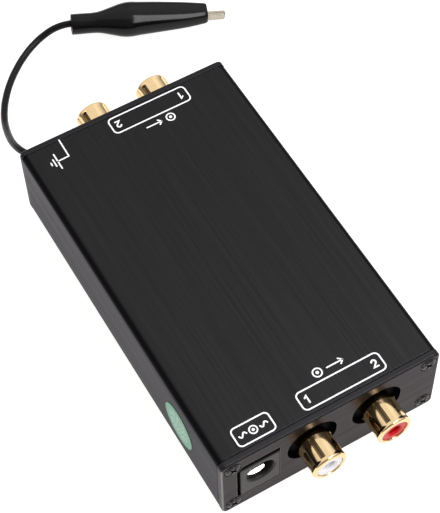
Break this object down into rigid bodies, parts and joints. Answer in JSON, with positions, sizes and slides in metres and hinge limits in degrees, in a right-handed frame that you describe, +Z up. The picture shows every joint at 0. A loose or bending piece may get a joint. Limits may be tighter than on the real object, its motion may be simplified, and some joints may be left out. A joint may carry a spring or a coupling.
{
  "type": "phono preamp",
  "caption": "Small brushed black aluminium amplifier box with gold phono sockets at both ends, a power socket, and a ground lead ending in an insulated crocodile clip.",
  "frame": {"origin": "bottom centre of the box and its sockets, on the surface that the feet stand on", "axes": "+Z up, +Y along the length towards the input end that the ground lead leaves, +X across to the right seen from the output end"},
  "size_m": [0.079, 0.163, 0.0253],
  "materials": {
    "sleeve_anodised": "black anodised, brushed lengthwise",
    "plate_anodised": "black anodised, brushed along its width",
    "black_screws": "blackened steel",
    "black_rubber": "matt",
    "green_sticker": "printed film",
    "green_board": "solder mask on glass fibre",
    "black_plastic": "moulded",
    "nickel": "nickel plate",
    "gold_plate": "polished gold plate",
    "white_plastic": "moulded",
    "red_plastic": "moulded",
    "blue_sleeve": "shrink sleeve",
    "black_pvc": "soft glossy vinyl",
    "spring_steel": "drawn wire"
  },
  "bodies": {
    "unit": {"case_sleeve": "sleeve_anodised", "front_plate": "plate_anodised", "rear_plate": "plate_anodised", "front_plate_screws": "black_screws", "rear_plate_screws": "black_screws", "rubber_feet": "black_rubber", "side_sticker": "green_sticker", "circuit_board": "green_board", "power_socket_body": "black_plastic", "power_socket_pin": "nickel", "power_socket_contact": "nickel", "output_left_housing": "black_plastic", "output_left_barrel": "gold_plate", "output_left_insert": "white_plastic", "output_left_contact": "gold_plate", "output_right_housing": "black_plastic", "output_right_barrel": "gold_plate", "output_right_insert": "red_plastic", "output_right_contact": "gold_plate", "input_left_housing": "black_plastic", "input_left_barrel": "gold_plate", "input_left_insert": "red_plastic", "input_left_contact": "gold_plate", "input_right_housing": "black_plastic", "input_right_barrel": "gold_plate", "input_right_insert": "white_plastic", "input_right_contact": "gold_plate", "chip_sockets": "black_plastic", "amplifier_chips": "black_plastic", "filter_capacitors": "blue_sleeve", "coupling_capacitors": "red_plastic", "resistors": "blue_sleeve", "voltage_regulators": "black_plastic", "rectifier_diodes": "black_plastic", "ground_grommet": "black_rubber", "ground_wire": "black_pvc", "ground_wire_inner": "black_pvc", "clip_boot": "black_pvc", "clip_fixed_jaw": "nickel", "clip_rivet": "nickel", "clip_spring": "spring_steel"},
    "jaw": {"clip_moving_jaw": "nickel"}
  },
  "joints": [
    {"name": "jaw_hinge", "type": "hinge", "parent": "unit", "child": "jaw", "pos_m": [0.02684, 0.09176, 0.00385], "axis": [0.0804, -0.0307, 0.9963], "range_deg": [0, 14], "stiffness_Nm_per_rad": 0.1, "springref_deg": -17.19, "deforming": ["clip_boot", "clip_spring"]}
  ]
}
